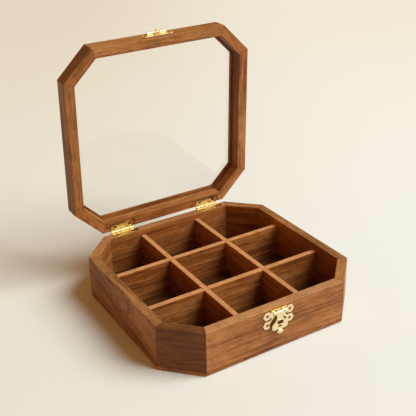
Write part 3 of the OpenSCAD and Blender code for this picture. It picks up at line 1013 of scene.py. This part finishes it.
@dataclass
class LidFrame:
    """The eight rails of the lid and its pane.

    Attributes:
        wood: the rails' finish.
        glass: the pane's finish.
        tones: how light each rail is, by its side.
        shaded_outsides: how light the outer faces of the left-hand rails are: painted shade, as those faces
            turn away from the key light.
        rail: width of a rail without the lip over the glass, in millimetres.
        shaded_inside: the rails whose inner faces are darker: painted shade, as those faces turn away from
            the key light.
    """

    wood: Walnut = field(default_factory=Walnut)
    tones: dict[Side, float] = field(
        default_factory=lambda: {Side.FRONT: 1.0, Side.LEFT: 0.95, Side.BACK: 1.25}
    )
    shaded_outsides: dict[Side, float] = field(default_factory=lambda: {Side.LEFT: 0.66, Side.FRONT_LEFT: 0.52})
    rail: float = 12.0
    shaded_inside: tuple[Side, ...] = (Side.FRONT_RIGHT, Side.RIGHT, Side.BACK_RIGHT)
    glass: ClearGlass = field(default_factory=ClearGlass)

    def rail_cut(self, side: Side) -> BoardCut:
        """How the rail of one side was sawn."""
        place, length = side_place(side, SIZES.lid_width, SIZES.lid_depth, SIZES.lid_cut)
        closed = MOVE((0, SIZES.reveal / 2, SIZES.lid_low)) @ place
        return BoardCut(
            place=in_metres(SIZES.lid_pose() @ closed),
            seed=90.0 + side.value * 1.9,
            pith=(0.12, -0.1 - 0.02 * (side.value % 3)),
            tone=self.tones.get(side, 1.15),
            # Painted shade on the outer faces of the left-hand rails.
            outer=self.shaded_outsides.get(side, 1.0),
            # Painted shade on the inner faces of the right-hand rails.
            inner=(self.rail - 0.2) * MM if side in self.shaded_inside else None,
            lining=(0.62, 0.56, 0.50),
            # Painted shadows at the ends of the hinges' recesses on the back rail.
            recess_shadows=RECESS_ENDS if side is Side.BACK else (),
            recess_shadow_span=(-MM, RECESS_DEEP * MM),
            half=length / 2 * MM,
        )

    def build(self) -> None:
        """Dresses the rails and the glass."""
        for side in Side:
            node = f"lid_{side.word}_rail"
            dress_node(node, self.wood.dress(node, self.rail_cut(side)))
        dress_node("glass_pane", self.glass.dress("clear_glass"))


# Brass fittings.


@dataclass
class Screw:
    """Sizes of the small brass screws, in millimetres."""

    head: float = 3.8
    dome: float = 0.9
    shank: float = 1.8
    length: float = 7.0
    slot_wide: float = 0.5
    slot_deep: float = 0.4
    sink: float = 1.1
    turns: int = 9
    head_sides: int = 8

    def thread(self, top: float) -> list[Point]:
        """Profile of the threaded shank, from its tip up to a height."""
        tip, core = top - self.length, 0.78 * self.shank / 2
        points = [(0.0, tip), (0.3, tip + 0.5)]
        pitch = (self.length - 1.2) / self.turns
        for i in range(self.turns):
            z = tip + 0.9 + i * pitch
            points += [(core, z), (self.shank / 2, z + pitch / 2)]
        return points + [(core, top - 0.2)]

    def slotted(self, body: bmesh.types.BMesh, top: float) -> bmesh.types.BMesh:
        """Cuts the driver's slot into a head whose top is at a height."""
        half = self.slot_wide / 2
        return carve(body, cuboid((-self.head, -half, top - self.slot_deep), (self.head, half, top + 1)))

    def round_head(self) -> bmesh.types.BMesh:
        """Round head screw, the underside of its head at the origin, pointing down."""
        radius = self.head / 2
        ball = (radius**2 + self.dome**2) / (2 * self.dome)
        widest = math.asin(radius / ball)
        slopes = [widest * (1 - i / self.head_sides) for i in range(1, self.head_sides)]
        dome = [(ball * math.sin(a), self.dome - ball + ball * math.cos(a)) for a in slopes]
        rim = [(radius - 0.12, 0.0), (radius - 0.03, 0.05)]
        profile = self.thread(0.0) + rim + dome + [(0.0, self.dome)]
        return self.slotted(lathe(profile), self.dome)

    def flush_head(self) -> bmesh.types.BMesh:
        """Countersunk screw, the face of its head at the origin, pointing down."""
        radius = self.head / 2
        head = [(self.shank / 2, -self.sink), (radius - 0.05, -0.1), (radius - 0.12, 0.0), (0.0, 0.0)]
        return self.slotted(lathe(self.thread(-self.sink) + head), 0.0)


@dataclass
class Fitting:
    """What every brass fitting has, in millimetres.

    Attributes:
        brass: finish of the fitting.
        screw_brass: finish of its screws.
        record_slot: the record's material slot of the fitting.
        screw: sizes of its screws.
    """

    brass: bpy.types.Material
    screw_brass: bpy.types.Material
    record_slot: str
    screw: Screw = field(default_factory=Screw)

    def make(self, node: str, bm: bmesh.types.BMesh, place: Matrix, body: Body) -> None:
        """Finishes a piece of the fitting."""
        finish_piece(node, bm, place, body, self.record_slot, self.brass)

    def make_screws(self, node: str, bm: bmesh.types.BMesh, place: Matrix, body: Body) -> None:
        """Finishes a group of its screws."""
        finish_piece(node, bm, place, body, "screw_brass", self.screw_brass)

    def round_screws(self, spots: Sequence[Point], face: float, turns: Sequence[float]) -> bmesh.types.BMesh:
        """Puts round head screws into a plate.

        Args:
            spots: where they go.
            face: height of the plate's face.
            turns: how far each is turned, in degrees.

        Returns:
            The screws.
        """
        placed = [MOVE((*spot, face)) @ turn(degrees, "Z") for spot, degrees in zip(spots, turns)]
        return gather(*[(self.screw.round_head(), place) for place in placed])

    def ears(self, sheet: Stencil, spots: Sequence[Point], size: float) -> None:
        """Adds six sided ears with screw holes to a sheet."""
        sheet.add(*[circle(size / 2, spot, 6) for spot in spots])
        sheet.cut(*[circle(self.screw.shank / 2 + BORE_PLAY, spot, 20) for spot in spots])


@dataclass
class ButtHinge(Fitting):
    """The two butt hinges with their screws, in millimetres."""

    from_middle: float = 59.0
    length: float = 30.0
    knuckles: int = 5
    leaf_wide: float = 9.4
    leaf_thick: float = 1.2
    barrel: float = 3.8
    pin: float = 2.0
    pin_end: float = 0.4
    gap: float = 0.5
    pitch: float = 19.0
    ease: float = 0.16

    def place(self, side: int) -> Matrix:
        """Frame at the middle of one hinge's pin."""
        return MOVE(Vector((side * self.from_middle, 0, 0)) + SIZES.hinge_line)

    def screw_places(self) -> list[Vector]:
        """Where the two screws of a leaf go, from the middle of the pin."""
        y = -SIZES.pin_back - self.leaf_wide / 2
        return [Vector((sx * self.pitch / 2, y, -SIZES.lid_gap / 2)) for sx in (-1, 1)]

    def leaf(self, first: int) -> bmesh.types.BMesh:
        """The lower leaf with every second knuckle.

        Args:
            first: the number of its first knuckle.

        Returns:
            The mesh, from the middle of the pin.
        """
        top = -SIZES.lid_gap / 2
        near = -SIZES.pin_back
        flat = Stencil().add(box_loop(-self.length / 2, near - self.leaf_wide, self.length / 2, near))
        flat.cut(*[circle(self.screw.head / 2 + 0.2, (p.x, p.y), 28) for p in self.screw_places()])
        parts = [(flat.plate(self.leaf_thick, self.ease), MOVE((0, 0, top - self.leaf_thick)))]
        roll = Stencil().add(box_loop(near - 0.6, top - self.leaf_thick, -0.4, top))
        roll.ring(self.barrel / 2, self.pin / 2 + BORE_PLAY, steps=(40, 28))
        step = self.length / self.knuckles
        for k in range(first, self.knuckles, 2):
            left = -self.length / 2 + k * step + self.gap / 2
            knuckle = roll.plate(step - self.gap, self.ease)
            parts.append((knuckle, MOVE((left, 0, 0)) @ ALONG_X))
        return gather(*parts)

    def pin_rod(self) -> bmesh.types.BMesh:
        """The pin with rounded ends, along X."""
        r = self.pin / 2
        half = self.length / 2 + self.pin_end
        profile = [(0, -half), (r * 0.6, -half), (r * 0.9, -half + 0.12), (r, -half + 0.4)]
        return gather((lathe(mirrored(profile), 24), ALONG_X))

    def build(self) -> None:
        """Makes the leaves, pins and screws of both hinges."""
        mirror = Matrix.Scale(-1, 4, (0, 0, 1))
        pose = SIZES.lid_pose()
        for side, word in ((-1, "left"), (1, "right")):
            place = self.place(side)
            upper = gather((self.leaf(1), mirror))
            bmesh.ops.reverse_faces(upper, faces=upper.faces)
            self.make(f"{word}_hinge_base_leaf", self.leaf(0), place, Body.BASE)
            self.make(f"{word}_hinge_lid_leaf", upper, pose @ place, Body.LID)
            self.make(f"{word}_hinge_pin", self.pin_rod(), place, Body.BASE)
        as_is = Matrix.Identity(4)
        self.make_screws("hinge_base_screws", self.flush_screws(as_is), as_is, Body.BASE)
        screws = self.flush_screws(mirror)
        bmesh.ops.reverse_faces(screws, faces=screws.faces)
        self.make_screws("hinge_lid_screws", screws, pose, Body.LID)

    def flush_screws(self, across: Matrix) -> bmesh.types.BMesh:
        """The four countersunk screws of one body's leaves; across mirrors them for the lid."""
        sides = (-1, -1, 1, 1)
        spots = self.screw_places() * 2
        parts = []
        for side, spot, degrees in zip(sides, spots, (18, -40, 65, 100)):
            screw = gather((self.screw.flush_head(), turn(degrees, "Z")))
            parts.append((screw, self.place(side) @ across @ MOVE(spot)))
        return gather(*parts)


@dataclass
class Clasp(Fitting):
    """The clasp on the front wall: plate, pin, flap, knob and screws, in millimetres."""

    out: float = 3.4
    barrel: float = 4.0
    pin: float = 1.6
    flap_knuckle: float = 8.0
    plate_knuckle: float = 3.6
    side_gap: float = 0.3
    thick: float = 1.0
    plate_wide: float = 19.0
    rise: float = 2.9
    fall: float = 6.2
    band: float = 5.4
    arm: float = 2.4
    pierce: Point = (2.8, 3.0)
    screw_drop: float = 2.4
    screw_x: float = 27.6
    screw_z: float = 10.6
    ear: float = 10.2
    flap_thick: float = 1.2
    flap_wide: float = 19.4
    flap_long: float = 20.2
    neck: Point = (7.6, 6.6)
    spread: float = 8.8
    corner: float = 2.8
    slot: Point = (7.4, 4.8)
    rim: Point = (0.9, 0.4)
    window: Point = (4.6, 2.0)
    window_drop: float = 16.6
    knob: Point = (5.0, 7.6)
    knob_bead: float = 1.25
    tongue: float = 3.0
    ease: float = 0.4

    @property
    def place(self) -> Matrix:
        """Frame of the clasp: X right, Y up from the pin, Z out of the wall."""
        return MOVE((0, -SIZES.depth / 2, SIZES.clasp_high)) @ turn(90, "X")

    @property
    def knuckle_x(self) -> float:
        """Middle of the plate's right knuckle."""
        return (self.flap_knuckle + self.plate_knuckle) / 2 + self.side_gap

    @property
    def screw_spots(self) -> list[Point]:
        """Middles of the four ears."""
        rows = (-self.screw_drop, -self.screw_drop - self.screw_z)
        return [(sx * self.screw_x / 2, y) for sx in (-1, 1) for y in rows]

    def plate(self) -> bmesh.types.BMesh:
        """The stamped plate with its two knuckles."""
        half = self.screw_x / 2
        low_ear = Vector((half, -self.screw_drop - self.screw_z))
        root = Vector((self.knuckle_x - self.arm / 2, self.arm / 4 - self.fall))
        along = (low_ear - root).normalized()
        side = Vector((-along.y, along.x)) * self.arm / 2
        arm = [tuple(p) for p in (root - side, low_ear - side, low_ear + side, root + side)]
        wide, high = self.pierce
        straight = high - wide / 2
        bottom = -self.barrel / 4 - straight
        pierced = [(self.knuckle_x + side_x * wide / 2, bottom + straight) for side_x in (1, -1)]
        pierced += [
            (self.knuckle_x + wide / 2 * math.cos(a), bottom + wide / 2 * math.sin(a))
            for a in (math.pi + math.pi * i / 12 for i in range(13))
        ]
        sheet = Stencil()
        sheet.add(box_loop(-self.plate_wide / 2, -self.fall, self.plate_wide / 2, self.rise))
        sheet.add(box_loop(-half, -self.screw_drop - self.band / 2, half, -self.screw_drop + self.band / 2))
        sheet.add(arm, flipped(arm))
        self.ears(sheet, self.screw_spots, self.ear)
        sheet.cut(pierced, flipped(pierced))
        parts = [(sheet.plate(self.thick, self.ease, 3), Matrix.Identity(4))]
        roll = Stencil().add(box_loop(-self.barrel / 4, self.thick / 2, self.barrel / 4, self.out))
        roll.ring(self.barrel / 2, self.pin / 2 + BORE_PLAY, (0, self.out))
        for sx in (-1, 1):
            left = sx * self.knuckle_x - self.plate_knuckle / 2
            parts.append((roll.plate(self.plate_knuckle, self.ease), MOVE((left, 0, 0)) @ ALONG_X))
        return gather(*parts)

    def flap_side(self) -> list[Point]:
        """Points down the right side of the flap, to the middle of its lower edge."""
        neck_wide, neck_long = self.neck
        points = [(neck_wide / 2, 0.0)]
        steps = 14
        for i in range(steps + 1):
            share = (1 - math.cos(math.pi * i / steps)) / 2
            wide = neck_wide + (self.flap_wide - neck_wide) * share
            points.append((wide / 2, -neck_long - self.spread * i / steps))
        middle = (self.flap_wide / 2 - self.corner, self.corner - self.flap_long)
        for i in range(9):
            a = -math.pi / 2 * i / 8
            points.append((middle[0] + self.corner * math.cos(a), middle[1] + self.corner * math.sin(a)))
        return points

    def flap(self) -> bmesh.types.BMesh:
        """The bell shaped flap with its knuckle, slot, rim, window and tongue."""
        right = self.flap_side()
        drop = self.flap_long + self.knob[0] / 2 + 0.1
        sheet = Stencil().add(right + [(-x, y) for x, y in reversed(right)])
        sheet.add(box_loop(-self.tongue / 2, -drop, self.tongue / 2, self.corner - self.flap_long))
        slot = pill(*self.slot, (0, -SIZES.slot_drop))
        sheet.cut(slot, pill(*self.window, (0, -self.window_drop)))
        parts = [(sheet.plate(self.flap_thick, self.ease, 3), MOVE((0, 0, self.out - self.flap_thick / 2)))]
        rim_wide, rim_high = self.rim
        outer = pill(self.slot[0] + 2 * rim_wide, self.slot[1] + 2 * rim_wide, (0, -SIZES.slot_drop), 16)
        raised = Stencil().add(outer).cut(slot)
        parts.append((raised.plate(self.flap_thick / 2 + rim_high, 0.3, 3), MOVE((0, 0, self.out))))
        roll = Stencil().ring(self.barrel / 2, self.pin / 2 + BORE_PLAY, (0, self.out))
        knuckle = roll.plate(self.flap_knuckle, self.ease)
        parts.append((knuckle, MOVE((-self.flap_knuckle / 2, 0, 0)) @ ALONG_X))
        return gather(*parts)

    def knob_turning(self) -> bmesh.types.BMesh:
        """The turned knob, a barrel with a bead at each end, along X."""
        radius, half = self.knob[0] / 2, self.knob[1] / 2
        bead = self.knob_bead
        end = [(0, -half), (bead - 0.35, -half), (bead - 0.05, -half + 0.15)]
        end += [(bead, -half + 0.5), (bead - 0.2, -half + 0.8)]
        steps = 14
        shares = [2 * i / steps - 1 for i in range(steps + 1)]
        barrel = [(bead + (radius - bead) * math.sqrt(1 - k**4), (half - 0.95) * k) for k in shares]
        profile = end + barrel + [(x, -z) for x, z in reversed(end)]
        return gather((lathe(profile, 36), ALONG_X))

    def pin_rod(self) -> bmesh.types.BMesh:
        """The clasp's pin, along X."""
        half = self.flap_knuckle / 2 + self.side_gap + self.plate_knuckle
        r = self.pin / 2
        profile = mirrored([(0, -half), (r - 0.15, -half), (r, -half + 0.15)])
        return gather((lathe(profile, 20), MOVE((0, 0, self.out)) @ ALONG_X))

    def build(self) -> None:
        """Makes the clasp's pieces."""
        low = MOVE((0, -self.flap_long - self.knob[0] / 2 - 0.1, self.out))
        screws = self.round_screws(self.screw_spots, self.thick, (25, 70, -35, 110))
        self.make("hasp_plate", self.plate(), self.place, Body.BASE)
        self.make("hasp_pin", self.pin_rod(), self.place, Body.BASE)
        self.make("hasp_flap", self.flap(), self.place, Body.FLAP)
        self.make("hasp_knob", self.knob_turning(), self.place @ low, Body.FLAP)
        self.make_screws("hasp_screws", screws, self.place, Body.BASE)


@dataclass
class Catch(Fitting):
    """The catch on the lid: plate with a rolled edge, staple and screws, in millimetres."""

    thick: float = 1.0
    screw_x: float = 31.0
    plate_high: float = 7.0
    ear: float = 8.6
    bead: float = 3.4
    bead_long: float = 24.0
    bead_sink: float = 0.2
    bead_wall: float = 0.8
    wire: float = 2.0
    staple_wide: float = 6.4
    staple_past: float = 1.6
    root: float = 3.0
    clasp_out: float = 3.4
    flap_thick: float = 1.2
    ease: float = 0.4

    @property
    def place(self) -> Matrix:
        """Frame of the catch: X right, Y up from the staple, Z out of the closed lid."""
        front = SIZES.depth / 2 - SIZES.reveal
        high = SIZES.clasp_high + SIZES.slot_drop
        return SIZES.lid_pose() @ MOVE((0, -front, high)) @ turn(90, "X")

    @property
    def ring(self) -> float:
        """Radius of the staple's arch."""
        return (self.staple_wide - self.wire) / 2

    @property
    def screw_spots(self) -> list[Point]:
        """Middles of the two ears."""
        return [(sx * self.screw_x / 2, 0.0) for sx in (-1, 1)]

    def plate(self) -> bmesh.types.BMesh:
        """The plate with two ears and its upper edge rolled over."""
        half, flat = self.screw_x / 2, self.plate_high / 2
        sheet = Stencil()
        sheet.add(box_loop(-half + self.ear / 4, -flat, half - self.ear / 4, flat))
        self.ears(sheet, self.screw_spots, self.ear)
        sheet.cut(*[circle(self.wire / 2 + BORE_PLAY, (sx * self.ring, 0), 20) for sx in (-1, 1)])
        parts = [(sheet.plate(self.thick, self.ease, 3), Matrix.Identity(4))]
        roll = Stencil().ring(self.bead / 2, self.bead / 2 - self.bead_wall)
        bar = roll.plate(self.bead_long, 0.25, 3)
        high = self.thick / 2 + self.bead / 2 - self.bead_sink
        parts.append((bar, MOVE((-self.bead_long / 2, flat, high)) @ ALONG_X))
        return gather(*parts)

    def staple(self) -> bmesh.types.BMesh:
        """The arch of round wire."""
        reach = self.clasp_out + SIZES.reveal + self.flap_thick / 2 + self.staple_past
        leg = reach - self.ring - self.wire / 2
        steps = 24
        bends = [math.pi * i / steps for i in range(steps + 1)]
        arch = [Vector((self.ring * math.cos(a), 0, leg + self.ring * math.sin(a))) for a in bends]
        down = [Vector((-self.ring, 0, height)) for height in (leg * 0.5, -self.root)]
        up = [Vector((self.ring, 0, height)) for height in (-self.root, leg * 0.5)]
        return tube(up + arch + down, self.wire / 2)

    def build(self) -> None:
        """Makes the catch's pieces."""
        screws = self.round_screws(self.screw_spots, self.thick, (40, -15))
        self.make("catch_plate", self.plate(), self.place, Body.LID)
        self.make("catch_staple", self.staple(), self.place, Body.LID)
        self.make_screws("catch_screws", screws, self.place, Body.LID)


# The studio.


@dataclass
class Studio:
    """Floor, lamps, world and camera.

    Attributes:
        paper: colour of the floor, near and to the right.
        shaded_paper_left: its colour near and to the left, darker: painted light falloff.
        shaded_paper_far: its colour far off and to the right, darker: painted light falloff.
        shaded_paper_far_left: its colour far off and to the left, darkest: painted light falloff.
        key: strength of the large lamp to the right of the camera.
        key_from: the direction that its light comes from.
        key_spread: how wide it looks, in degrees.
        key_colour: colour of its light.
        box_from: direction of the soft box that shows in the brass.
        soft_box: how bright it is.
        card: colour of the white card in front, which only gloss shows.
        low_left: colour of the low light from the left.
        low_right: colour of the low light from the right.
        overhead: colour of the light from above.
        azimuth: the camera's angle about Z from the front, in degrees.
        elevation: its height angle in degrees.
        roll: its roll in degrees.
        distance: how far it is from what it looks at, in metres.
        target: the point that it looks at, in metres.
        lens: focal length for a 36 mm wide sensor.
        shift: how far the frame is shifted, as a share of its width.
    """

    paper: Colour = (0.855, 0.85, 0.860)
    shaded_paper_left: Colour = (0.745, 0.712, 0.650)
    shaded_paper_far: Colour = (0.812, 0.782, 0.712)
    shaded_paper_far_left: Colour = (0.716, 0.648, 0.558)
    key: float = 3.82
    key_from: tuple[float, float, float] = (0.76, -0.60, 1.02)
    key_spread: float = 42.0
    key_colour: Colour = (0.87, 1.0, 1.0)
    box_from: tuple[float, float, float] = (0.37, -0.29, 0.88)
    soft_box: Colour = (3.4, 3.3, 3.1)
    card: Colour = (0.66, 0.60, 0.52)
    low_left: Colour = (1.02, 0.51, 0.13)
    low_right: Colour = (1.08, 0.65, 0.29)
    overhead: Colour = (0.205, 0.10, 0.032)
    azimuth: float = -28.95
    elevation: float = 24.12
    roll: float = -2.22
    distance: float = 0.81562
    target: tuple[float, float, float] = (-0.03739, 0.02002, 0.15415)
    lens: float = 66.766
    shift: Point = (0.0793, -0.0793)

    def build(self) -> None:
        """Sets the floor, the light and the camera."""
        self.floor()
        self.lamps()
        self.world()
        self.camera()

    def floor(self) -> None:
        """A wide pale floor, its colour darker to the left and far off: painted light falloff."""
        mesh = bpy.data.meshes.new("studio_floor")
        bm = bmesh.new()
        bmesh.ops.create_grid(bm, x_segments=4, y_segments=4, size=9.0)
        bm.to_mesh(mesh)
        bm.free()
        material, g = new_material("cream_paper")
        x, y, _ = g.split(g.local(Matrix.Identity(4)))
        # The floor's colour darkens to the left and far off: painted falloff of the light.
        across = (x * 0.875 - y * 0.484).step(-0.4, 0.4)
        far = (x * 0.484 + y * 0.875).step(0.0, 1.6)
        near_tone = g.mix(across, self.shaded_paper_left, self.paper)
        colour = g.mix(far, near_tone, g.mix(across, self.shaded_paper_far_left, self.shaded_paper_far))
        tooth = g.noise(g.join(x * 900.0, y * 900.0, 0.0), 2.0, 0.5)
        shader = g.node(
            "ShaderNodeBsdfPrincipled",
            None,
            {
                "Base Color": colour,
                "Roughness": 0.92,
                "Specular IOR Level": 0.1,
                "Normal": g.bump(tooth, 0.00003),
            },
        )
        g.output(shader.outputs[0])
        mesh.materials.append(material)
        floor = bpy.data.objects.new("studio_floor", mesh)
        bpy.context.scene.collection.objects.link(floor)

    def lamps(self) -> None:
        """One large soft key from the right and the front."""
        lamp = bpy.data.lights.new("key", "SUN")
        lamp.energy = self.key
        lamp.angle = math.radians(self.key_spread)
        lamp.color = self.key_colour
        key = bpy.data.objects.new("key", lamp)
        key.rotation_euler = Vector(self.key_from).to_track_quat("Z", "Y").to_euler()
        key.visible_glossy = False
        bpy.context.scene.collection.objects.link(key)

    def world(self) -> None:
        """A soft sky, brighter to the right, with a softbox that only gloss shows."""
        world = bpy.data.worlds.new("studio")
        world.use_nodes = True
        bpy.context.scene.world = world
        g = Graph(world.node_tree)
        coords = Wire(g, g.node("ShaderNodeTexCoord").outputs["Generated"])
        x, y, z = g.split(coords)
        side = (x * 0.55 - y * 0.45).step(-0.7, 0.7)
        sky = g.mix(z.step(0.15, 0.60), g.mix(side, self.low_left, self.low_right), self.overhead)
        to_box = Vector(self.box_from).normalized()
        facing = x * to_box.x + y * to_box.y + z * to_box.z
        box = facing.step(math.cos(math.radians(31)), math.cos(math.radians(25)))
        card = (z * 0.5 - y * 0.87).step(0.35, 0.9)
        gloss = g.mix(box, g.mix(card, sky, self.card), self.soft_box)
        paths = g.node("ShaderNodeLightPath")
        shown = g.mix(Wire(g, paths.outputs["Is Glossy Ray"]), sky, gloss)
        seen = g.mix(Wire(g, paths.outputs["Is Camera Ray"]), shown, self.paper)
        shader = g.node("ShaderNodeBackground", None, {"Color": seen, "Strength": 1.0})
        g.output(shader.outputs[0], world=True)

    def camera(self) -> None:
        """The camera at the photograph's place."""
        az, el, roll = (math.radians(v) for v in (self.azimuth, self.elevation, self.roll))
        back = Vector((math.sin(az) * math.cos(el), -math.cos(az) * math.cos(el), math.sin(el)))
        right = Vector((math.cos(az), math.sin(az), 0))
        up = right.cross(-back)
        across = right * math.cos(roll) + up * math.sin(roll)
        upward = up * math.cos(roll) - right * math.sin(roll)
        data = bpy.data.cameras.new("camera")
        data.lens = self.lens
        data.sensor_width = 36.0
        data.shift_x, data.shift_y = self.shift
        camera = bpy.data.objects.new("camera", data)
        axes = Matrix((across, upward, back)).transposed().to_4x4()
        camera.matrix_world = MOVE(Vector(self.target) + back * self.distance) @ axes
        bpy.context.scene.collection.objects.link(camera)
        bpy.context.scene.camera = camera


def main() -> None:
    """Builds the box's looks, sub-assembly by sub-assembly."""
    logging.basicConfig(level=logging.INFO, format="%(name)s: %(message)s")
    clasp_brass = Brass().dress("clasp_brass")
    aged = Brass(bright=(0.86, 0.67, 0.35), deep=(0.72, 0.53, 0.24), rough=0.24, pitting=0.1, grain=0.000003)
    hinge_brass = aged.dress("hinge_brass")
    screw_brass = Brass(bright=(0.42, 0.24, 0.08), deep=(0.20, 0.10, 0.03), rough=0.20).dress("screw_brass")
    builders: list[Callable[[], None]] = [
        BoxShell().build,
        DividerGrid().build,
        LidFrame().build,
        ButtHinge(hinge_brass, screw_brass, "hinge_brass").build,
        Clasp(clasp_brass, screw_brass, "clasp_brass").build,
        Catch(clasp_brass, screw_brass, "clasp_brass").build,
        Studio().build,
    ]
    for build in builders:
        build()
    bpy.context.scene.view_settings.view_transform = "Standard"


if __name__ == "__main__":
    main()
